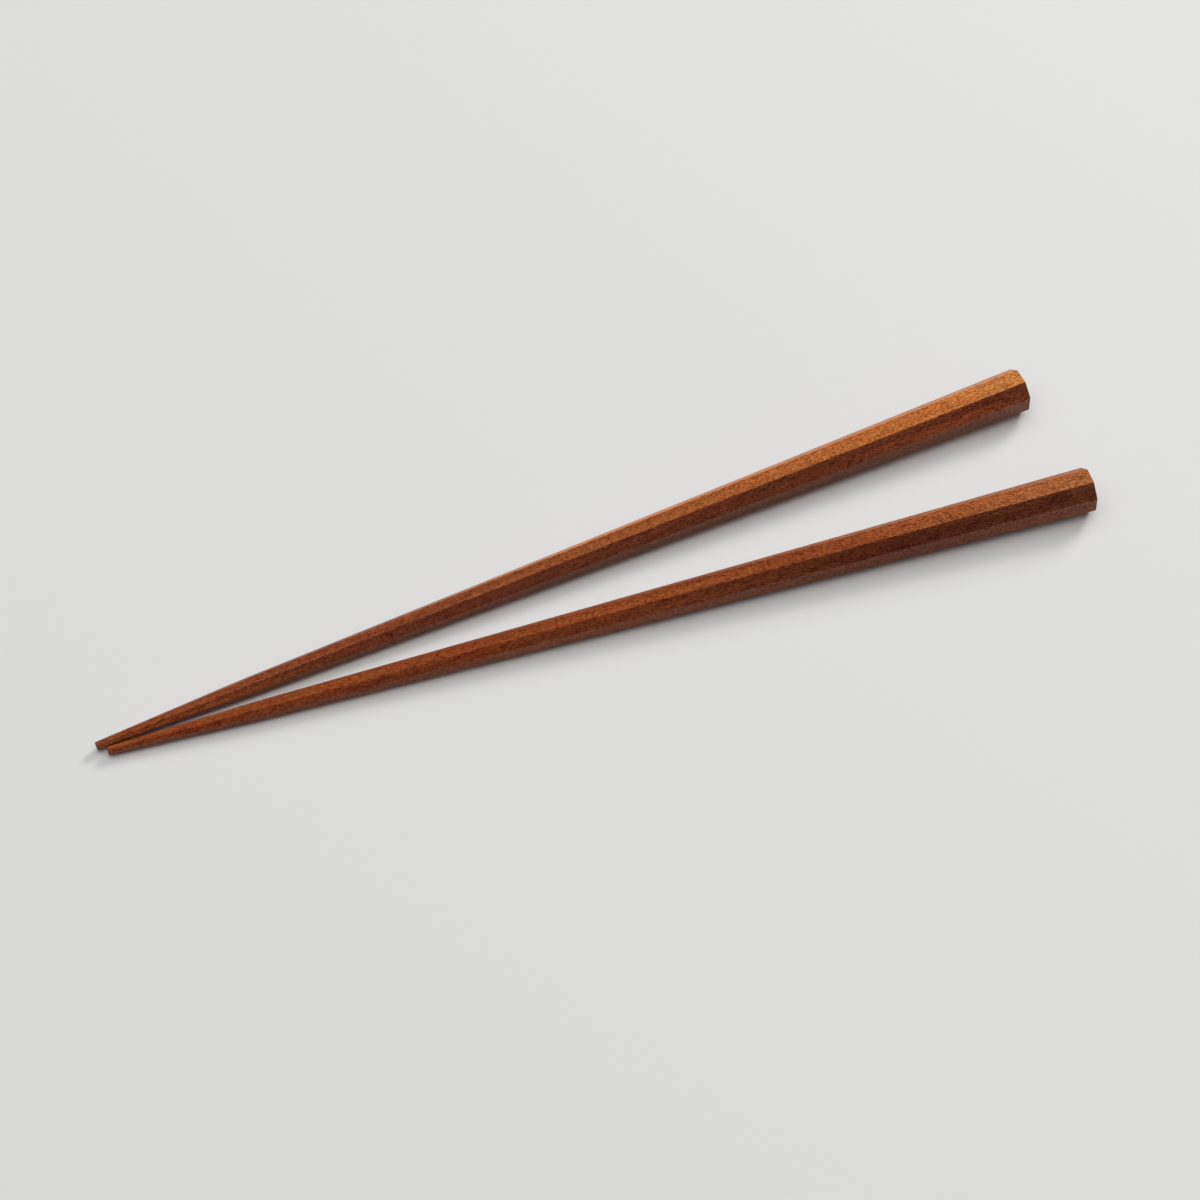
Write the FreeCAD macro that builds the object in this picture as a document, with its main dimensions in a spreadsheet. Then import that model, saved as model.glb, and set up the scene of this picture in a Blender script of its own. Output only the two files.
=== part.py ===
import FreeCAD, Part
import math
import os

import Sketcher

from FreeCAD import Placement, Rotation, Vector

os.makedirs("parts", exist_ok=True)

# A pair of wooden chopsticks lying side by side, tips together and butts apart.
# Each stick is one piece of wood: a square blank planed to eight flats that taper slowly along
# the handle and faster from the knee to the tip, with its ridges sanded and its ends eased.
# +X runs from the tips to the butts between the two sticks, +Z is up, and the sticks lie on Z = 0.

doc = FreeCAD.newDocument("chopsticks")

# Driving dimensions, in millimetres and degrees. Widths are across the flats, distances are
# from the tip, and the knee is where the lines of the two tapers would cross.
dimensions = {
    "stick_length": 230.0,
    "butt_width": 9.8,
    "knee_width": 4.15,
    "knee_distance": 34.0,
    "knee_radius": 550.0,
    "tip_width": 1.9,
    "facet_count": 8,
    "ridge_radius": 0.35,
    "butt_chamfer": 0.25,
    "tip_chamfer": 0.12,
    "spread_angle": 7.6,
    "tip_stagger": 2.0,
    "tip_gap": 0.3,
}

sheet = doc.addObject("Spreadsheet::Sheet", "sizes")
for row, (alias, value) in enumerate(dimensions.items(), start=1):
    sheet.set(f"A{row}", alias)
    sheet.set(f"B{row}", str(value))
    sheet.setAlias(f"B{row}", alias)
doc.recompute()

# The blank is this many times as thick as the butt, so that every flat is planed from solid wood.
blank_oversize = 1.3


def size(alias):
    """One driving dimension as a plain number."""
    return float(getattr(sheet, alias))


def origin_feature(body, role):
    """The plane or axis of the body's own origin that has this role."""
    return next(item for item in body.Origin.OriginFeatures if item.Role == role)


def new_sketch(body, name, plane):
    """A sketch laid flat on one of the body's origin planes."""
    sketch = body.newObject("Sketcher::SketchObject", name)
    sketch.AttachmentSupport = [(origin_feature(body, plane), "")]
    sketch.MapMode = "FlatFace"
    return sketch


def dimension(sketch, name, kind, places, value, expression):
    """A named dimension of a sketch, drawn at its value and bound to the sheet."""
    index = sketch.addConstraint(Sketcher.Constraint(kind, *places, value))
    sketch.renameConstraint(index, name)
    sketch.setExpression(f"Constraints.{name}", expression)


def chain(sketch, count):
    """Joins a run of straight lines end to start into a closed outline."""
    for line in range(count):
        sketch.addConstraint(Sketcher.Constraint("Coincident", line, 2, (line + 1) % count, 1))


def add_blank(body):
    """The square blank, sawn to length along +X with its tip end on the origin."""
    sketch = new_sketch(body, "blank_section", "YZ_Plane")
    thickness = blank_oversize * size("butt_width")
    half = thickness / 2
    corners = [Vector(-half, -half), Vector(half, -half), Vector(half, half), Vector(-half, half)]
    for start, end in zip(corners, corners[1:] + corners[:1]):
        sketch.addGeometry(Part.LineSegment(start, end))
    chain(sketch, 4)
    for line, kind in enumerate(["Horizontal", "Vertical", "Horizontal", "Vertical"]):
        sketch.addConstraint(Sketcher.Constraint(kind, line))
    sketch.addConstraint(Sketcher.Constraint("Symmetric", 0, 1, 2, 1, -1, 1))
    bound = f"{blank_oversize} * sizes.butt_width"
    dimension(sketch, "blank_width", "DistanceX", (0, 1, 0, 2), thickness, bound)
    dimension(sketch, "blank_height", "DistanceY", (1, 1, 1, 2), thickness, bound)

    blank = body.newObject("PartDesign::Pad", "blank")
    blank.Profile = sketch
    blank.setExpression("Length", "sizes.stick_length")
    return blank


def add_planing_profile(body):
    """Side view of what the plane takes off the underside: tip taper, knee arc, handle taper."""
    sketch = new_sketch(body, "planing_profile", "XZ_Plane")
    tip = Vector(0, -size("tip_width") / 2)
    knee = Vector(size("knee_distance"), -size("knee_width") / 2)
    butt = Vector(size("stick_length"), -size("butt_width") / 2)
    depth = blank_oversize * size("butt_width")
    tip_run = (knee - tip).normalize()
    handle_run = (butt - knee).normalize()

    # The arc touches both tapers at the same distance from the knee.
    radius = size("knee_radius")
    reach = radius * math.tan(tip_run.getAngle(handle_run) / 2)
    arc_start = knee - tip_run * reach
    arc_end = knee + handle_run * reach
    centre = arc_start + Vector(-tip_run.y, tip_run.x) * radius
    circle = Part.Circle(centre, Vector(0, 0, 1), radius)
    angles = [math.atan2(end.y - centre.y, end.x - centre.x) for end in (arc_start, arc_end)]

    below_butt = Vector(butt.x, -depth)
    below_tip = Vector(tip.x, -depth)
    tip_line = sketch.addGeometry(Part.LineSegment(tip, arc_start))
    arc = sketch.addGeometry(Part.ArcOfCircle(circle, *angles))
    handle_line = sketch.addGeometry(Part.LineSegment(arc_end, butt))
    butt_side = sketch.addGeometry(Part.LineSegment(butt, below_butt))
    bottom = sketch.addGeometry(Part.LineSegment(below_butt, below_tip))
    tip_side = sketch.addGeometry(Part.LineSegment(below_tip, tip))
    knee_point = sketch.addGeometry(Part.Point(knee), True)

    for rule in [
        ("Tangent", tip_line, 2, arc, 1),
        ("Tangent", arc, 2, handle_line, 1),
        ("Coincident", handle_line, 2, butt_side, 1),
        ("Coincident", butt_side, 2, bottom, 1),
        ("Coincident", bottom, 2, tip_side, 1),
        ("Coincident", tip_side, 2, tip_line, 1),
        ("Vertical", butt_side),
        ("Horizontal", bottom),
        ("Vertical", tip_side),
        ("PointOnObject", tip_line, 1, -2),
        ("PointOnObject", knee_point, 1, tip_line),
        ("PointOnObject", knee_point, 1, handle_line),
    ]:
        sketch.addConstraint(Sketcher.Constraint(*rule))

    origin = (-1, 1)
    for name, kind, places, value, expression in [
        ("tip_half", "DistanceY", (tip_line, 1, *origin), -tip.y, "sizes.tip_width / 2"),
        ("knee_half", "DistanceY", (knee_point, 1, *origin), -knee.y, "sizes.knee_width / 2"),
        ("butt_half", "DistanceY", (handle_line, 2, *origin), -butt.y, "sizes.butt_width / 2"),
        ("knee_along", "DistanceX", (*origin, knee_point, 1), knee.x, "sizes.knee_distance"),
        ("butt_along", "DistanceX", (*origin, handle_line, 2), butt.x, "sizes.stick_length"),
        ("depth", "DistanceY", (bottom, 1, *origin), depth, f"{blank_oversize} * sizes.butt_width"),
        ("knee_bend", "Radius", (arc,), radius, "sizes.knee_radius"),
    ]:
        dimension(sketch, name, kind, places, value, expression)
    return sketch


def plane_facets(body):
    """One flat planed along the underside, repeated round the stick's axis."""
    flat = body.newObject("PartDesign::Pocket", "planed_flat")
    flat.Profile = add_planing_profile(body)
    flat.Type = "ThroughAll"
    flat.SideType = "Symmetric"

    facets = body.newObject("PartDesign::PolarPattern", "facets")
    facets.Originals = [flat]
    facets.Axis = (origin_feature(body, "X_Axis"), [""])
    facets.Angle = 360
    facets.setExpression("Occurrences", "sizes.facet_count")
    body.Tip = facets
    doc.recompute()
    return facets


def edge_names(feature, wanted):
    """Names of the edges of a feature that satisfy a test."""
    return [f"Edge{i}" for i, edge in enumerate(feature.Shape.Edges, start=1) if wanted(edge)]


def runs_along(edge):
    """True for an edge that runs along the stick and not across it."""
    first, last = edge.Vertexes[0].Point, edge.Vertexes[-1].Point
    return abs(last.x - first.x) > edge.Length / 2


def lies_at(edge, distance):
    """True for an edge that lies wholly at one distance from the tip."""
    return all(math.isclose(v.X, distance, abs_tol=1e-4) for v in edge.Vertexes)


def ease(body, kind, name, edges, amount, alias):
    """Takes the sharpness off some edges of the body's last feature."""
    base = body.Tip
    feature = body.newObject(f"PartDesign::{kind}", name)
    feature.Base = (base, edge_names(base, edges))
    feature.setExpression(amount, f"sizes.{alias}")
    body.Tip = feature
    doc.recompute()
    return feature


def make_stick(label):
    """One chopstick, with its axis on X and its tip at the origin."""
    body = doc.addObject("PartDesign::Body", label)
    body.Label = label
    blank = add_blank(body)
    doc.recompute()
    facets = plane_facets(body)
    ridges = ease(body, "Fillet", "sanded_ridges", runs_along, "Radius", "ridge_radius")
    length = size("stick_length")
    butt = ease(body, "Chamfer", "eased_butt", lambda edge: lies_at(edge, length), "Size", "butt_chamfer")
    tip = ease(body, "Chamfer", "eased_tip", lambda edge: lies_at(edge, 0), "Size", "tip_chamfer")

    volumes = [step.Shape.Volume for step in (blank, facets, ridges, butt, tip)]
    if any(after >= before for before, after in zip(volumes, volumes[1:])):
        raise RuntimeError(f"{label}: a step took no wood off: {volumes}")
    return body


def width_at(distance):
    """Width across the flats at a distance from the tip, on the two straight tapers."""
    knee = size("knee_distance")
    if distance < knee:
        share = distance / knee
        return size("tip_width") + (size("knee_width") - size("tip_width")) * share
    share = (distance - knee) / (size("stick_length") - knee)
    return size("knee_width") + (size("butt_width") - size("knee_width")) * share


def tips_apart():
    """Distance between the two axes at the tips that leaves the gap at the closest place."""
    half_spread = math.radians(size("spread_angle") / 2)
    stagger = size("tip_stagger")
    needed = []
    for distance in (0, size("knee_distance"), size("stick_length") - stagger):
        widths = width_at(distance) + width_at(distance + stagger)
        opened = (2 * distance + stagger) * math.tan(half_spread)
        needed.append(size("tip_gap") + widths / 2 / math.cos(half_spread) - opened)
    return max(needed)


def lay_down(body, side):
    """Lays a stick on its lower handle flat, turned half the spread to its own side."""
    handle = size("stick_length") - size("knee_distance")
    pitch = math.atan2((size("butt_width") - size("knee_width")) / 2, handle)
    half_knee = size("knee_width") / 2
    height = half_knee * math.cos(pitch) - size("knee_distance") * math.sin(pitch)
    turned = Rotation(Vector(0, 0, 1), side * size("spread_angle") / 2)
    raised = Rotation(Vector(0, 1, 0), -math.degrees(pitch))
    tip = Vector(-side * size("tip_stagger") / 2, side * tips_apart() / 2, height)
    body.Placement = Placement(tip, turned * raised)


# Seen from the front, one stick lies behind the other, and its tip reaches further out.
sticks = {"rear_chopstick": 1, "front_chopstick": -1}
bodies = []
for label, side in sticks.items():
    body = make_stick(label)
    lay_down(body, side)
    bodies.append(body)
doc.recompute()

# The origin is on the table, under the middle of the pair's box.
box = bodies[0].Shape.BoundBox
for body in bodies[1:]:
    box.add(body.Shape.BoundBox)
for body in bodies:
    body.Placement.Base = body.Placement.Base - Vector(box.Center.x, box.Center.y, 0)
doc.recompute()

for item in doc.Objects:
    if {"Invalid", "Error"} & set(item.State):
        raise RuntimeError(f"{item.Name} failed: {item.State}")
for body in bodies:
    if body.Shape.isNull() or not body.Shape.isValid() or len(body.Shape.Solids) != 1:
        raise RuntimeError(f"{body.Label} is not one valid solid")
for body in bodies:
    body.Shape.exportStep(f"parts/{body.Label}.step")
    print(f"{body.Label}: {body.Shape.Volume:.0f} cubic mm")
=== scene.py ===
import math

import bpy
from mathutils import Matrix, Vector


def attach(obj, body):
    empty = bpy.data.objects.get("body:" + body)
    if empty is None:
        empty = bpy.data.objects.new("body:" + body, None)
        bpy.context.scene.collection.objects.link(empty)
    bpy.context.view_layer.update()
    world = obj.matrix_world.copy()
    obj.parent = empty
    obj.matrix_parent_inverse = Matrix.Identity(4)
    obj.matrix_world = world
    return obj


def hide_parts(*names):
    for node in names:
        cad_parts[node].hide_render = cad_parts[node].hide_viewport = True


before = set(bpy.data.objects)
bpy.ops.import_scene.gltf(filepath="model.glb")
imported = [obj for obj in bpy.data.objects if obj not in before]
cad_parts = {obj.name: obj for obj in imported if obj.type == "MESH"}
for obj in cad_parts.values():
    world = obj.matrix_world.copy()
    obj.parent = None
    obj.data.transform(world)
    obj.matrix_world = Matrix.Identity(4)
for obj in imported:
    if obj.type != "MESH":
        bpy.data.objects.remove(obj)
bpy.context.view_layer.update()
scene = bpy.context.scene
print("frame loaded:", ", ".join(sorted(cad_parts)))


# small helpers for node trees

def feed(tree, socket, value):
    # links a socket, or sets a plain value
    if isinstance(value, bpy.types.NodeSocket):
        tree.links.new(value, socket)
    else:
        socket.default_value = value


def calc(tree, operation, *values, clamp=False):
    node = tree.nodes.new("ShaderNodeMath")
    node.operation = operation
    node.use_clamp = clamp
    for socket, value in zip(node.inputs, values):
        feed(tree, socket, value)
    return node.outputs[0]


def combine(tree, x, y, z):
    node = tree.nodes.new("ShaderNodeCombineXYZ")
    for socket, value in zip(node.inputs, (x, y, z)):
        feed(tree, socket, value)
    return node.outputs[0]


def vectorCalc(tree, operation, first, second):
    # SCALE takes a number as its second value, and DOT_PRODUCT gives a number
    node = tree.nodes.new("ShaderNodeVectorMath")
    node.operation = operation
    feed(tree, node.inputs[0], first)
    feed(tree, node.inputs["Scale" if operation == "SCALE" else 1], second)
    return node.outputs["Value" if operation == "DOT_PRODUCT" else "Vector"]


def noise(tree, vector, detail=2.0, roughness=0.5):
    node = tree.nodes.new("ShaderNodeTexNoise")
    feed(tree, node.inputs["Vector"], vector)
    node.inputs["Scale"].default_value = 1.0
    node.inputs["Detail"].default_value = detail
    node.inputs["Roughness"].default_value = roughness
    return node.outputs[0]


def rise(tree, value, low, high, start=0.0, end=1.0):
    # a soft step from start to end as the value goes from low to high
    node = tree.nodes.new("ShaderNodeMapRange")
    node.interpolation_type = "SMOOTHSTEP"
    feed(tree, node.inputs["Value"], value)
    node.inputs["From Min"].default_value = low
    node.inputs["From Max"].default_value = high
    node.inputs["To Min"].default_value = start
    node.inputs["To Max"].default_value = end
    return node.outputs[0]


def colour(red, green, blue):
    # a colour as read off a screen, 0 to 255, to Blender's linear values
    def linear(value):
        share = value / 255
        return share / 12.92 if share <= 0.04045 else ((share + 0.055) / 1.055) ** 2.4
    return (linear(red), linear(green), linear(blue), 1.0)


# the stick: eight planed flats, a slow taper on the handle and a faster one from the knee to the tip

stick = {
    "Length": 0.230,
    "Butt Width": 0.0098,
    "Knee Width": 0.00415,
    "Knee Distance": 0.034,
    "Knee Radius": 0.550,
    "Tip Width": 0.0019,
    "Ridge Radius": 0.00035,
    "Butt Ease": 0.00025,
    "Tip Ease": 0.00012,
    "Facets": 8.0,
    "Rows": 560,            # rings along the stick, ends included
    "Cap Rows": 6,          # rings across each end face
    "Ridge Cells": 4,       # cells round each sanded ridge
    "Flat Cells": 7,        # cells across each flat
    "Unevenness": 0.00003,  # how deep the plane and the sander dip
    "Dip Length": 0.022,    # how long each dip is
    "Dip Spread": 1.6,      # how much the dips differ from flat to flat
}
mergeDistance = 1e-7
sharpestSmooth = math.radians(25)  # edges that bend more than this look sharp


def stickTree():
    tree = bpy.data.node_groups.new("planedStick", "GeometryNodeTree")
    tree.interface.new_socket("Geometry", in_out="OUTPUT", socket_type="NodeSocketGeometry")
    wholeNumbers = ("Rows", "Cap Rows", "Ridge Cells", "Flat Cells")
    for name in stick:
        kind = "NodeSocketInt" if name in wholeNumbers else "NodeSocketFloat"
        tree.interface.new_socket(name, in_out="INPUT", socket_type=kind)
    tree.interface.new_socket("Seed", in_out="INPUT", socket_type="NodeSocketFloat")
    tree.interface.new_socket("Wood", in_out="INPUT", socket_type="NodeSocketMaterial")
    given = tree.nodes.new("NodeGroupInput").outputs

    def do(operation, *values, clamp=False):
        return calc(tree, operation, *values, clamp=clamp)

    def store(geometry, name, kind, domain, value):
        node = tree.nodes.new("GeometryNodeStoreNamedAttribute")
        node.data_type = kind
        node.domain = domain
        feed(tree, node.inputs["Geometry"], geometry)
        feed(tree, node.inputs["Name"], name)
        feed(tree, node.inputs["Value"], value)
        return node.outputs[0]

    # a flat grid: one row for each ring, one column for each cell round the stick
    perFacet = do("ADD", given["Ridge Cells"], given["Flat Cells"])
    columns = do("MULTIPLY", perFacet, given["Facets"])
    lastRow = do("SUBTRACT", given["Rows"], 1)
    grid = tree.nodes.new("GeometryNodeMeshGrid")
    feed(tree, grid.inputs["Size X"], lastRow)
    feed(tree, grid.inputs["Size Y"], columns)
    feed(tree, grid.inputs["Vertices X"], given["Rows"])
    feed(tree, grid.inputs["Vertices Y"], do("ADD", columns, 1))
    place = tree.nodes.new("ShaderNodeSeparateXYZ")
    feed(tree, place.inputs[0], tree.nodes.new("GeometryNodeInputPosition").outputs[0])
    row = do("ROUND", do("ADD", place.outputs[0], do("MULTIPLY", lastRow, 0.5)))
    column = do("ROUND", do("ADD", place.outputs[1], do("MULTIPLY", columns, 0.5)))

    # rows near the two ends close the end faces
    firstBody = do("ADD", given["Cap Rows"], 1)
    rowsLeft = do("SUBTRACT", lastRow, row)
    onTip = do("LESS_THAN", row, do("SUBTRACT", firstBody, 0.5))
    onButt = do("LESS_THAN", rowsLeft, do("SUBTRACT", firstBody, 0.5))
    capShare = do("MULTIPLY",
                  do("DIVIDE", row, given["Cap Rows"], clamp=True),
                  do("DIVIDE", rowsLeft, given["Cap Rows"], clamp=True))
    bodyRows = do("SUBTRACT", lastRow, do("MULTIPLY", firstBody, 2))
    share = do("DIVIDE", do("SUBTRACT", row, firstBody), bodyRows, clamp=True)
    tipEase = do("MULTIPLY", given["Tip Ease"], onTip)
    buttEase = do("MULTIPLY", given["Butt Ease"], onButt)
    inset = do("ADD", tipEase, buttEase)
    run = do("SUBTRACT", do("SUBTRACT", given["Length"], given["Butt Ease"]), given["Tip Ease"])
    along = do("MULTIPLY_ADD", share, run, given["Tip Ease"])
    along = do("ADD", do("SUBTRACT", along, tipEase), buttEase)

    # half the width: two straight tapers, eased into each other at the knee
    def halfOf(name):
        return do("MULTIPLY", given[name], 0.5)

    kneeHalf = halfOf("Knee Width")
    past = do("SUBTRACT", along, given["Knee Distance"])
    handle = do("SUBTRACT", given["Length"], given["Knee Distance"])
    tipSlope = do("DIVIDE", do("SUBTRACT", kneeHalf, halfOf("Tip Width")), given["Knee Distance"])
    handleSlope = do("DIVIDE", do("SUBTRACT", halfOf("Butt Width"), kneeHalf), handle)
    slopeChange = do("SUBTRACT", tipSlope, handleSlope)
    straight = do("MINIMUM",
                  do("MULTIPLY_ADD", past, tipSlope, kneeHalf),
                  do("MULTIPLY_ADD", past, handleSlope, kneeHalf))
    reach = do("MULTIPLY", do("MULTIPLY", given["Knee Radius"], slopeChange), 0.5)
    within = do("MAXIMUM", do("SUBTRACT", reach, do("ABSOLUTE", past)), 0)
    sunk = do("MULTIPLY",
              do("DIVIDE", slopeChange, do("MULTIPLY", reach, 4)),
              do("MULTIPLY", within, within))
    half = do("SUBTRACT", do("SUBTRACT", straight, sunk), inset)

    # round the stick: a ridge arc, then a flat, for each facet
    turn = do("DIVIDE", math.tau, given["Facets"])
    facet = do("FLOOR", do("DIVIDE", column, perFacet))
    cell = do("SUBTRACT", column, do("MULTIPLY", facet, perFacet))
    arcShare = do("DIVIDE", cell, given["Ridge Cells"], clamp=True)
    flatShare = do("DIVIDE", do("SUBTRACT", cell, given["Ridge Cells"]), given["Flat Cells"], clamp=True)
    # cells are narrower beside the ridges
    flatShare = do("MULTIPLY_ADD", do("COSINE", do("MULTIPLY", flatShare, math.pi)), -0.5, 0.5)
    facing = do("MULTIPLY", do("ADD", facet, arcShare), turn)
    outwards = combine(tree, 0.0, do("COSINE", facing), do("SINE", facing))
    corners = []
    for step in (0.5, 1.5):
        angle = do("MULTIPLY", do("ADD", facet, step), turn)
        corners.append(combine(tree, 0.0, do("COSINE", angle), do("SINE", angle)))
    between = tree.nodes.new("ShaderNodeMix")
    between.data_type = "VECTOR"
    feed(tree, between.inputs["Factor"], flatShare)
    vectorInputs = [socket for socket in between.inputs if socket.type == "VECTOR"]
    feed(tree, vectorInputs[-2], corners[0])
    feed(tree, vectorInputs[-1], corners[1])
    corner = next(socket for socket in between.outputs if socket.type == "VECTOR")

    # the dips differ from flat to flat and run into each other over the ridges
    dipPlace = combine(tree, do("DIVIDE", along, given["Dip Length"]), given["Seed"], 0.0)
    dipPlace = vectorCalc(tree, "ADD", vectorCalc(tree, "SCALE", outwards, given["Dip Spread"]), dipPlace)
    dip = do("MULTIPLY", noise(tree, dipPlace), given["Unevenness"])

    radius = do("SUBTRACT", given["Ridge Radius"], inset)
    cornerReach = do("DIVIDE",
                     do("SUBTRACT", do("SUBTRACT", half, radius), dip),
                     do("COSINE", do("MULTIPLY", turn, 0.5)))
    section = vectorCalc(tree, "SCALE", corner, do("MULTIPLY", cornerReach, capShare))
    ridge = vectorCalc(tree, "SCALE", outwards, do("MULTIPLY", radius, capShare))
    ring = vectorCalc(tree, "ADD", section, ridge)
    point = vectorCalc(tree, "ADD", ring, combine(tree, along, 0.0, 0.0))

    # stored on the stick: 1 on the sawn ends, the way each flat faces, and a map along the grain; the wood
    # material reads the first two
    marked = store(grid.outputs["Mesh"], "sawnEnd", "FLOAT", "POINT", do("MAXIMUM", onTip, onButt))
    marked = store(marked, "flatFacing", "FLOAT_VECTOR", "POINT", outwards)
    grainPlace = combine(tree, along, do("MULTIPLY", facing, kneeHalf), 0.0)
    marked = store(marked, "grainMap", "FLOAT2", "CORNER", grainPlace)

    outside = tree.nodes.new("GeometryNodeFlipFaces")  # the grid's faces would point inwards
    feed(tree, outside.inputs[0], marked)
    bent = tree.nodes.new("GeometryNodeSetPosition")
    feed(tree, bent.inputs["Geometry"], outside.outputs[0])
    feed(tree, bent.inputs["Position"], point)
    closed = tree.nodes.new("GeometryNodeMergeByDistance")
    feed(tree, closed.inputs["Geometry"], bent.outputs[0])
    feed(tree, closed.inputs["Distance"], mergeDistance)
    smooth = tree.nodes.new("GeometryNodeSetShadeSmooth")
    smooth.domain = "EDGE"
    feed(tree, smooth.inputs["Geometry"], closed.outputs[0])
    sharpness = tree.nodes.new("GeometryNodeInputMeshEdgeAngle").outputs["Unsigned Angle"]
    feed(tree, smooth.inputs["Shade Smooth"], do("LESS_THAN", sharpness, sharpestSmooth))
    real = tree.nodes.new("GeometryNodeRealizeInstances")
    feed(tree, real.inputs[0], smooth.outputs[0])
    finish = tree.nodes.new("GeometryNodeSetMaterial")
    feed(tree, finish.inputs["Geometry"], real.outputs[0])
    feed(tree, finish.inputs["Material"], given["Wood"])
    result = tree.nodes.new("NodeGroupOutput")
    feed(tree, result.inputs[0], finish.outputs[0])
    return tree


def axisOf(node):
    # tip point and butt point of a CAD stick: the middles of its two end faces
    points = [vertex.co.copy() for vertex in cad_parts[node].data.vertices]
    nearEnd = 0.004     # the first look takes all the points near each end
    onEnd = 0.00005     # the later ones take the end faces only

    def middle(chosen):
        return sum(chosen, Vector()) / len(chosen)

    reach = nearEnd
    run = Vector((1, 0, 0))
    for attempt in range(6):
        along = [point.dot(run) for point in points]
        ends = [middle([p for p, a in zip(points, along) if a < min(along) + reach]),
                middle([p for p, a in zip(points, along) if a > max(along) - reach])]
        run = (ends[1] - ends[0]).normalized()
        reach = onEnd
    return ends


def lyingMatrix(tip, butt):
    # local X along the stick, local Z as near upright as it can be
    run = (butt - tip).normalized()
    side = Vector((0, 0, 1)).cross(run).normalized()
    up = run.cross(side)
    return Matrix.Translation(tip) @ Matrix((run, side, up)).transposed().to_4x4()


def makeStick(node, tree, wood, seed, place):
    blank = bpy.data.objects.new(node + "Rule", bpy.data.meshes.new(node + "Rule"))
    scene.collection.objects.link(blank)
    modifier = blank.modifiers.new("stick", "NODES")
    modifier.node_group = tree
    values = dict(stick, Seed=seed, Wood=wood)
    for item in tree.interface.items_tree:
        if item.in_out == "INPUT":
            modifier[item.identifier] = values[item.name]
    depsgraph = bpy.context.evaluated_depsgraph_get()
    mesh = bpy.data.meshes.new_from_object(blank.evaluated_get(depsgraph))
    blank.modifiers.remove(modifier)
    bpy.data.objects.remove(blank)
    mesh.materials.pop(index=0)  # the empty slot that the grid starts with
    mesh.name = node + "Wood"
    mesh.transform(place)
    piece = bpy.data.objects.new(node + "Wood", mesh)
    scene.collection.objects.link(piece)
    return piece


# the wood: one 3-D pattern in millimetres along each stick, so the grain runs through every flat

millimetre = 0.001
pattern = {
    "wander": (0.03, 0.06, 0.06),     # how often each repeats in a millimetre: along the stick, then across
    "streaks": (0.014, 0.42, 0.42),
    "fibres": (0.16, 1.7, 1.7),
    "specks": (0.55, 3.4, 3.4),
    "grit": (1.3, 7.5, 7.5),
    "drift": (0.06, 0.3, 0.3),
    "pores": (0.8, 4.4, 4.4),
    "rays": (0.24, 0.5, 1.6),
    "rayCrowds": (0.05, 0.3, 0.5),
    "patches": (0.2, 0.3, 0.7),
    "sideWander": 0.6,                # how much of the wander also goes sideways
    "ringWaves": 1.5,                 # how far the streaks bend the growth rings, in rings
    "ringDarkens": (0.0, 0.75),       # where in a growth ring it darkens, and where it clears again
    "ringClears": (0.8, 1.0),
    "gritShare": 2.2,                 # how strong the grit is beside the specks
    "crowdSpan": (0.4, 0.6),          # the noise values between which the rays come in a crowd
    "crowdShare": (0.7, 0.3),         # how much of a dash a crowd brings out, and how much is there anyway
    "dashShare": (0.75, 0.25),        # the same for the front upper flat
    "patchSpan": (0.48, 0.66),
    "patchPlace": (0.6, 0.4),
    "speckRelief": 0.7,               # beside the fibres' own relief
    "poreRelief": 0.8,
    "paintedShadeTurn": (90.0, 210.0),       # mm along the stick, from the painted shade's own tone to its tone at the butt
    "figureTurn": (80.0, 215.0),      # mm along the stick, from the tip's figure to the butt's
    "noiseSpan": (0.3, 0.7),          # the part of a noise's range that it mostly keeps to
    "fadeSlopes": (-0.1, 0.4),        # between which the front flat fades less and less
}
thinnest = 0.1  # mm from the axis, so that nothing is divided by zero

# flats by the way they face, in degrees from the rear over the top, and how sharply they are picked out;
# the rear ridge is the one between the top and the rear upper flat
flats = {"rearUpper": 45.0, "rearRidge": 67.5, "frontUpper": 135.0, "front": 180.0}
oneFlat = (0.75, 0.97)
twoFlats = (0.5, 0.9)  # the two on either side of a ridge


def scaled(tree, vector, factors):
    return vectorCalc(tree, "MULTIPLY", vector, factors)


def blend(tree, share, first, second, kind="MIX"):
    node = tree.nodes.new("ShaderNodeMix")
    node.data_type = "RGBA"
    node.blend_type = kind
    feed(tree, node.inputs["Factor"], share)
    inputs = [socket for socket in node.inputs if socket.type == "RGBA"]
    feed(tree, inputs[0], first)
    feed(tree, inputs[1], second)
    return next(socket for socket in node.outputs if socket.type == "RGBA")


def toned(tree, tint, tone):
    # a colour multiplied by another
    return blend(tree, 1.0, tint, tone, "MULTIPLY")


def marks(tree, vector, ragged, raggedness, fade, chosen):
    # scattered marks, one in each cell of a Voronoi pattern: 1 in their middles, some of them left out
    cells = tree.nodes.new("ShaderNodeTexVoronoi")
    feed(tree, cells.inputs["Vector"], vector)
    cells.inputs["Scale"].default_value = 1.0
    tones = tree.nodes.new("ShaderNodeSeparateColor")
    feed(tree, tones.inputs[0], cells.outputs["Color"])
    torn = calc(tree, "MULTIPLY", calc(tree, "SUBTRACT", ragged, 0.5), raggedness)
    distance = calc(tree, "ADD", cells.outputs["Distance"], torn)
    shape = rise(tree, distance, *fade, 1.0, 0.0)
    return calc(tree, "MULTIPLY", shape, rise(tree, tones.outputs[0], *chosen))


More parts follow.
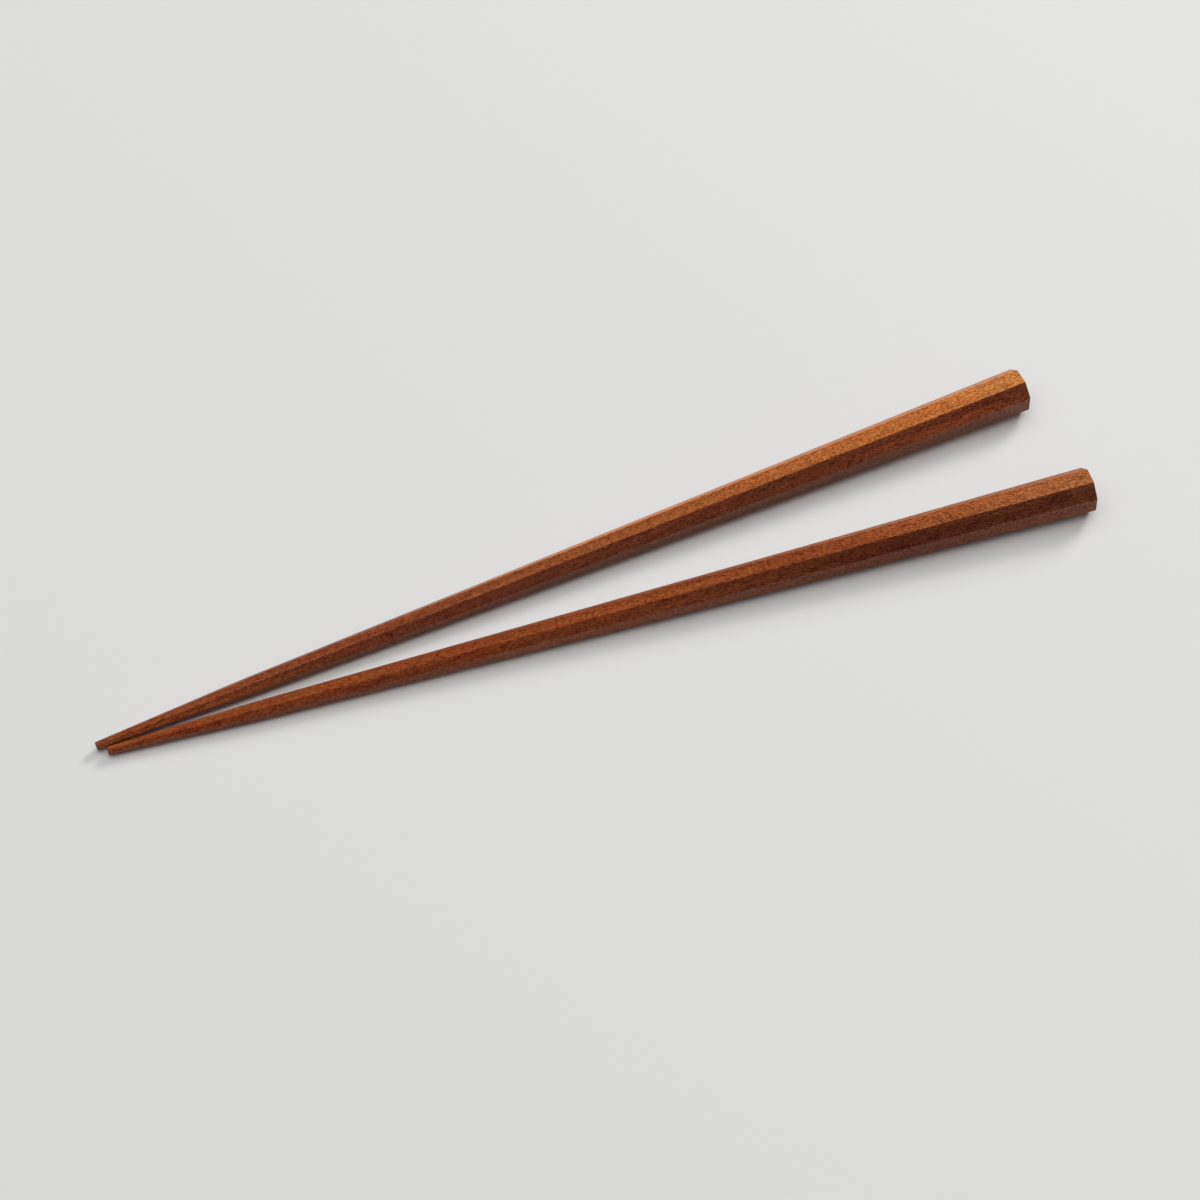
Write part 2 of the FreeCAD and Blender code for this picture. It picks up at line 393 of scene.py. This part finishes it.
def makeWood(name, look, place):
    material = bpy.data.materials.new(name)
    material.use_nodes = True
    tree = material.node_tree
    tree.nodes.clear()

    def do(operation, *values, clamp=False):
        return calc(tree, operation, *values, clamp=clamp)

    def attribute(attributeName, output):
        node = tree.nodes.new("ShaderNodeAttribute")
        node.attribute_name = attributeName
        return node.outputs[output]

    # millimetres from the tip: x along the stick, y to its rear side, z up
    coordinates = tree.nodes.new("ShaderNodeTexCoord")
    mapping = tree.nodes.new("ShaderNodeMapping")
    mapping.vector_type = "TEXTURE"
    mapping.inputs["Location"].default_value = place.to_translation()
    mapping.inputs["Rotation"].default_value = place.to_euler()
    mapping.inputs["Scale"].default_value = (millimetre, millimetre, millimetre)
    feed(tree, mapping.inputs["Vector"], coordinates.outputs["Object"])
    spot = mapping.outputs[0]
    axes = tree.nodes.new("ShaderNodeSeparateXYZ")
    feed(tree, axes.inputs[0], spot)
    along, side, up = axes.outputs

    # each stick comes from its own place in the plank, and its grain wanders a little
    plank = vectorCalc(tree, "ADD", spot, look["plank"])
    wander = do("SUBTRACT", noise(tree, scaled(tree, plank, pattern["wander"])), 0.5)
    wander = do("MULTIPLY", wander, look["wander"])
    diagonal = math.sqrt(0.5)  # the growth rings cross the stick at 45 degrees
    radial = do("ADD", do("MULTIPLY", do("SUBTRACT", up, side), diagonal), wander)
    tangent = do("MULTIPLY", do("ADD", up, side), diagonal)
    tangent = do("ADD", tangent, do("MULTIPLY", wander, pattern["sideWander"]))
    grain = vectorCalc(tree, "ADD", combine(tree, along, radial, tangent), look["plank"])

    # long soft streaks, growth rings, fibres, specks and pores
    streaks = noise(tree, scaled(tree, grain, pattern["streaks"]), detail=3.0)
    depth = do("ADD",
               do("MULTIPLY", radial, 1 / look["ringWidth"]),
               do("MULTIPLY", streaks, pattern["ringWaves"]))
    rings = do("FRACT", depth)
    rings = do("MULTIPLY",
               rise(tree, rings, *pattern["ringDarkens"]),
               rise(tree, rings, *pattern["ringClears"], 1.0, 0.0))
    fibres = noise(tree, scaled(tree, grain, pattern["fibres"]), detail=3.0, roughness=0.6)
    specks = noise(tree, scaled(tree, grain, pattern["specks"]), detail=3.0, roughness=0.8)
    grit = noise(tree, scaled(tree, grain, pattern["grit"]), detail=1.0)
    drift = noise(tree, scaled(tree, grain, pattern["drift"]), detail=3.0, roughness=0.6)
    pores = marks(tree, scaled(tree, grain, pattern["pores"]), specks,
                  raggedness=0.3, fade=(0.15, 0.5), chosen=(0.3, 0.7))

    # the flats picked out by the way they face, with the sawn ends left out: the painted sheen, highlight
    # and shade below go on them, as does some of the grain
    end = attribute("sawnEnd", "Fac")
    body = do("SUBTRACT", 1.0, end, clamp=True)
    facing = attribute("flatFacing", "Vector")

    def faces(flat, low, high):
        angle = math.radians(flats[flat])
        towards = vectorCalc(tree, "DOT_PRODUCT", facing, (0.0, math.cos(angle), math.sin(angle)))
        return do("MULTIPLY", rise(tree, towards, low, high), body)

    frontUpper = faces("frontUpper", *oneFlat)

    # rays: thin plates that lean a little and show as short dark dashes, most of all on the front upper flat
    lean = math.radians(look["lean"])
    ray = combine(tree, do("MULTIPLY_ADD", tangent, math.tan(lean), along), radial,
                  do("MULTIPLY_ADD", along, -math.tan(lean), tangent))
    dash = marks(tree, scaled(tree, ray, pattern["rays"]), specks,
                 raggedness=0.6, fade=(0.1, 0.5), chosen=(0.35, 0.8))
    crowd = rise(tree, noise(tree, scaled(tree, ray, pattern["rayCrowds"])), *pattern["crowdSpan"])
    dash = do("MULTIPLY", dash, do("MULTIPLY_ADD", crowd, *pattern["crowdShare"]))
    dash = do("MULTIPLY", dash, do("MULTIPLY_ADD", frontUpper, *pattern["dashShare"]))
    patches = rise(tree, noise(tree, scaled(tree, ray, pattern["patches"])), *pattern["patchSpan"])
    patches = do("MULTIPLY", patches, do("MULTIPLY_ADD", frontUpper, *pattern["patchPlace"]))

    # the tip is plainer, the butt is where the figure shows
    figure = rise(tree, along, *pattern["figureTurn"], look["tipFigure"], look["buttFigure"])
    tint = blend(tree, rise(tree, streaks, *pattern["noiseSpan"]), look["dark"], look["light"])
    topAndRear = faces("rearRidge", *twoFlats)
    # painted highlight: the top and rear upper flats paler at the butt
    pale = do("MULTIPLY", rise(tree, along, *look["paintedHighlightFrom"]), topAndRear)
    # painted golden sheen: the top and rear upper flats turn golden toward the butt, and the rear upper flat
    # does so from nearer the tip
    paintedSheen = do("MAXIMUM",
                do("MULTIPLY", rise(tree, along, *look["paintedSheenFrom"]), topAndRear),
                do("MULTIPLY", rise(tree, along, *look["edgeSheenFrom"]), faces("rearUpper", *oneFlat)))
    tint = blend(tree, paintedSheen, tint, look["paintedSheen"])
    tint = blend(tree, pale, tint, toned(tree, tint, look["pale"]))
    # the front flat turns toward its own duller tone, least along its upper ridge: this slope is 0.41 there
    # and -0.41 at the lower one
    slope = do("DIVIDE", up, do("MAXIMUM", do("ABSOLUTE", side), thinnest))
    frontTone = do("MULTIPLY", faces("front", *oneFlat), look["frontToneShare"])
    frontTone = do("MULTIPLY", frontTone, rise(tree, slope, *pattern["fadeSlopes"], 1.0, look["frontToneTop"]))
    tint = blend(tree, frontTone, tint, look["frontTone"])
    # the colour drifts between redder and browner, less so under the painted golden sheen
    hue = do("MULTIPLY_ADD", do("SUBTRACT", rise(tree, drift, *pattern["noiseSpan"]), 0.5),
             do("MULTIPLY_ADD", paintedSheen, -look["paintedSheenCalm"], 1.0), 0.5)
    tint = blend(tree, hue, toned(tree, tint, look["redder"]), toned(tree, tint, look["browner"]))
    tint = blend(tree, do("MULTIPLY", patches, look["patchShare"]), tint, toned(tree, tint, look["patch"]))
    # painted shade: the front upper flat darker, in a tone that changes toward the butt
    paintedShade = do("MULTIPLY", rise(tree, along, *look["paintedShadeFrom"]), frontUpper)
    paintedShadeTone = blend(tree, rise(tree, along, *pattern["paintedShadeTurn"]), look["paintedShade"], look["paintedShadeButt"])
    tint = blend(tree, paintedShade, tint, toned(tree, tint, paintedShadeTone))
    shade = do("SUBTRACT",
               do("MULTIPLY", do("SUBTRACT", fibres, 0.5), look["fibreTone"]),
               do("MULTIPLY", rings, do("MULTIPLY_ADD", end, look["endRings"], look["ringTone"])))
    tint = vectorCalc(tree, "SCALE", tint, do("MULTIPLY_ADD", shade, figure, 1.0))

    # specks, pores and dashes: the darkest go red-brown, the fibres between them lighter
    fine = do("MULTIPLY_ADD", do("SUBTRACT", grit, 0.5), pattern["gritShare"], do("SUBTRACT", specks, 0.5))
    speckle = do("SUBTRACT",
                 do("MULTIPLY", fine, look["speckTone"]),
                 do("ADD", do("MULTIPLY", pores, look["poreTone"]), do("MULTIPLY", dash, look["dashTone"])))
    speckle = do("MULTIPLY_ADD", speckle, figure, look["speckLevel"], clamp=True)
    tint = toned(tree, tint, blend(tree, speckle, look["pore"], look["fibre"]))

    # the ridges between the flats are painted a little paler: a painted highlight along each ridge
    across = tree.nodes.new("ShaderNodeSeparateXYZ")
    feed(tree, across.inputs[0], facing)
    turn = do("ARCTAN2", across.outputs[2], across.outputs[1])
    ridge = do("MULTIPLY_ADD", do("COSINE", do("MULTIPLY", turn, stick["Facets"])), -0.5, 0.5)
    ridge = do("MULTIPLY", ridge, body)
    tint = blend(tree, ridge, tint, toned(tree, tint, look["ridgeHighlight"]))
    # the sawn ends drink more oil
    tint = vectorCalc(tree, "SCALE", tint, rise(tree, end, 0.0, 1.0, 1.0, look["endTone"]))

    shader = tree.nodes.new("ShaderNodeBsdfPrincipled")
    feed(tree, shader.inputs["Base Color"], tint)
    dullness = do("ADD",
                  do("MULTIPLY", specks, look["roughSpecks"]),
                  do("MULTIPLY", end, look["roughEnds"]))
    feed(tree, shader.inputs["Roughness"], do("ADD", dullness, look["roughness"]))
    shader.inputs["Specular IOR Level"].default_value = look["sheenLevel"]
    shader.inputs["Specular Tint"].default_value = look["sheenTint"]
    shader.inputs["Coat Weight"].default_value = look["oil"]
    shader.inputs["Coat Roughness"].default_value = look["oilRoughness"]

    bump = tree.nodes.new("ShaderNodeBump")
    bump.inputs["Strength"].default_value = 1.0
    bump.inputs["Distance"].default_value = look["poreDepth"]
    relief = do("ADD", fibres, do("MULTIPLY", specks, pattern["speckRelief"]))
    relief = do("SUBTRACT", relief, do("MULTIPLY", pores, pattern["poreRelief"]))
    feed(tree, bump.inputs["Height"], do("MULTIPLY", relief, figure))
    feed(tree, shader.inputs["Normal"], bump.outputs[0])
    output = tree.nodes.new("ShaderNodeOutputMaterial")
    feed(tree, output.inputs["Surface"], shader.outputs[0])
    return material


rearStick = {
    "plank": (310.0, 12.0, 47.0),     # where in the plank its grain comes from, mm
    "wander": 1.6,                    # mm to each side
    "ringWidth": 2.1,                 # mm
    "lean": 12.0,                     # degrees that the rays lean from the stick's axis
    "dark": colour(118, 55, 30),
    "light": colour(142, 72, 36),
    "paintedSheen": colour(190, 108, 46),   # painted golden sheen on the top and the rear upper flat
    "paintedSheenFrom": (70.0, 265.0),      # mm along the stick, as are the next ones
    "paintedSheenCalm": 0.6,
    "pale": (1.1, 1.3, 1.5, 1.0),     # tones like this one multiply the colour: here a painted highlight on the top of the butt
    "paintedHighlightFrom": (195.0, 240.0),
    "edgeSheenFrom": (60.0, 130.0),        # painted golden sheen on the rear upper flat alone
    "paintedShade": (0.56, 0.54, 0.9, 1.0),  # painted shade on the front upper flat, and its tone at the butt
    "paintedShadeButt": (0.84, 0.84, 1.05, 1.0),
    "paintedShadeFrom": (0.0, 90.0),
    "frontTone": colour(97, 52, 36),      # the front flat
    "frontToneShare": 0.8,
    "frontToneTop": 0.2,                  # the part of that share along its upper ridge
    "redder": (1.05, 0.95, 0.97, 1.0),
    "browner": (0.96, 1.04, 1.02, 1.0),
    "patch": (0.78, 0.62, 0.85, 1.0),
    "patchShare": 0.5,
    "tipFigure": 0.62,                # how strongly the pattern shows at the tip and at the butt
    "buttFigure": 0.95,
    "fibreTone": 0.34,
    "ringTone": 0.12,
    "endRings": 0.35,
    "pore": (0.42, 0.27, 0.22, 1.0),  # the tones of the darkest and the lightest specks
    "fibre": (1.5, 1.62, 1.62, 1.0),
    "speckLevel": 0.62,
    "speckTone": 2.5,
    "poreTone": 0.45,
    "dashTone": 0.8,
    "ridgeHighlight": (1.22, 1.3, 1.4, 1.0),    # painted highlight on the sanded ridges
    "endTone": 0.6,
    "roughness": 0.45,
    "roughSpecks": 0.1,
    "roughEnds": 0.15,
    "sheenLevel": 0.3,
    "sheenTint": (1.0, 0.5, 0.12, 1.0),
    "oil": 0.25,
    "oilRoughness": 0.25,
    "poreDepth": 0.00001,
}

frontStick = dict(
    rearStick,
    plank=(80.0, 55.0, 21.0),
    dark=colour(120, 56, 30),
    light=colour(140, 72, 36),
    # painted golden sheen toward the butt, and where it begins
    paintedSheen=colour(166, 99, 57),
    paintedSheenFrom=(150.0, 260.0),
    edgeSheenFrom=(110.0, 200.0),
    # painted highlight on the top of the butt
    pale=(1.02, 1.05, 1.1, 1.0),
    # painted shade on the front upper flat
    paintedShade=(0.45, 0.5, 0.8, 1.0),
    paintedShadeButt=(0.45, 0.5, 0.8, 1.0),
    paintedShadeFrom=(0.0, 260.0),
    frontTone=colour(122, 90, 79),
    frontToneShare=0.4,
    frontToneTop=1.0,
    patchShare=0.8,
    tipFigure=0.55,
    buttFigure=0.85,
    oil=0.0,
    sheenLevel=0.12,
)

rule = stickTree()
for node, look, seed in (("rear_chopstick", rearStick, 3.7), ("front_chopstick", frontStick, 11.2)):
    tip, butt = axisOf(node)
    place = lyingMatrix(tip, butt)
    wood = makeWood(node.replace("_chopstick", "Oiled"), look, place)
    piece = makeStick(node, rule, wood, seed, place)
    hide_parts(node)
    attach(piece, "root")
    print(f"{piece.name}: {len(piece.data.polygons)} faces, {(butt - tip).length * 1000:.1f} mm long")


# the plain pale floor, the light and the camera

studio = {
    "floorTone": colour(217, 217, 216),
    "floorSize": 6.0,
    "floorRoughness": 0.9,
    "floorSheen": 0.1,
    "skyLow": 0.06,               # soft light from all round, and from overhead
    "skyTop": 2.04,
    "skyFrom": (0.6, 1.0),        # where overhead begins, as the sine of the height above the floor
    "backdrop": 0.68,             # the pale surroundings low down, as the camera and the gloss see them
    "backdropTo": (0.02, 0.3),    # where they end, in the same measure
    # power, width, distance, degrees right of straight back, degrees above the floor
    "lamps": {
        "backLamp": (30.5, 0.81, 2.3, 40.0, 30.0),
    },
    "lookAt": (0.00154, -0.00124, 0.0),
    "cameraTurn": -21.635,        # degrees
    "cameraHeight": 53.10,        # degrees above the floor
    "cameraDistance": 0.8995,
    "cameraSees": (0.01, 50.0),   # nearest and farthest
    "lens": 120.0,
    "sensor": 36.0,
}


def makeFloor():
    mesh = bpy.data.meshes.new("paleFloor")
    reach = studio["floorSize"] / 2
    corners = [(-reach, -reach, 0), (reach, -reach, 0), (reach, reach, 0), (-reach, reach, 0)]
    mesh.from_pydata(corners, [], [(0, 1, 2, 3)])
    floor = bpy.data.objects.new("paleFloor", mesh)
    scene.collection.objects.link(floor)
    material = bpy.data.materials.new("paleFloor")
    material.use_nodes = True
    shader = material.node_tree.nodes["Principled BSDF"]
    shader.inputs["Base Color"].default_value = studio["floorTone"]
    shader.inputs["Roughness"].default_value = studio["floorRoughness"]
    shader.inputs["Specular IOR Level"].default_value = studio["floorSheen"]
    mesh.materials.append(material)


def direction(turn, height):
    # turn in degrees clockwise from straight back, seen from above, and height above the floor
    turn, height = math.radians(turn), math.radians(height)
    return Vector((math.sin(turn) * math.cos(height), math.cos(turn) * math.cos(height), math.sin(height)))


def aim(thing, target):
    thing.rotation_euler = (target - thing.location).to_track_quat("-Z", "Y").to_euler()


def makeLight():
    for name, (power, width, distance, turn, height) in studio["lamps"].items():
        lamp = bpy.data.lights.new(name, "AREA")
        lamp.shape = "DISK"
        lamp.size = width
        lamp.energy = power
        holder = bpy.data.objects.new(name, lamp)
        scene.collection.objects.link(holder)
        holder.location = direction(turn - studio["cameraTurn"], height) * distance
        aim(holder, Vector())

    world = bpy.data.worlds.new("paleRoom")
    scene.world = world
    world.use_nodes = True
    tree = world.node_tree
    tree.nodes.clear()
    path = tree.nodes.new("ShaderNodeLightPath")
    seen = calc(tree, "ADD", path.outputs["Is Camera Ray"], path.outputs["Is Glossy Ray"])
    seen = calc(tree, "ADD", seen, path.outputs["Is Transmission Ray"], clamp=True)
    view = tree.nodes.new("ShaderNodeSeparateXYZ")
    feed(tree, view.inputs[0], tree.nodes.new("ShaderNodeTexCoord").outputs["Generated"])
    dome = rise(tree, view.outputs[2], *studio["skyFrom"], studio["skyLow"], studio["skyTop"])
    pale = rise(tree, view.outputs[2], *studio["backdropTo"], studio["backdrop"], studio["skyLow"])
    strength = tree.nodes.new("ShaderNodeMix")
    feed(tree, strength.inputs["Factor"], seen)
    feed(tree, strength.inputs[2], dome)
    feed(tree, strength.inputs[3], pale)
    background = tree.nodes.new("ShaderNodeBackground")
    background.inputs["Color"].default_value = (1, 1, 1, 1)
    feed(tree, background.inputs["Strength"], strength.outputs[0])
    output = tree.nodes.new("ShaderNodeOutputWorld")
    feed(tree, output.inputs["Surface"], background.outputs[0])


def makeCamera():
    camera = bpy.data.objects.new("camera", bpy.data.cameras.new("camera"))
    scene.collection.objects.link(camera)
    camera.data.lens = studio["lens"]
    camera.data.sensor_width = studio["sensor"]
    target = Vector(studio["lookAt"])
    back = direction(180 - studio["cameraTurn"], studio["cameraHeight"])
    camera.location = target + back * studio["cameraDistance"]
    aim(camera, target)
    camera.data.clip_start, camera.data.clip_end = studio["cameraSees"]
    scene.camera = camera


makeFloor()
makeLight()
makeCamera()
scene.view_settings.view_transform = "Standard"
print("floor, light and camera made")
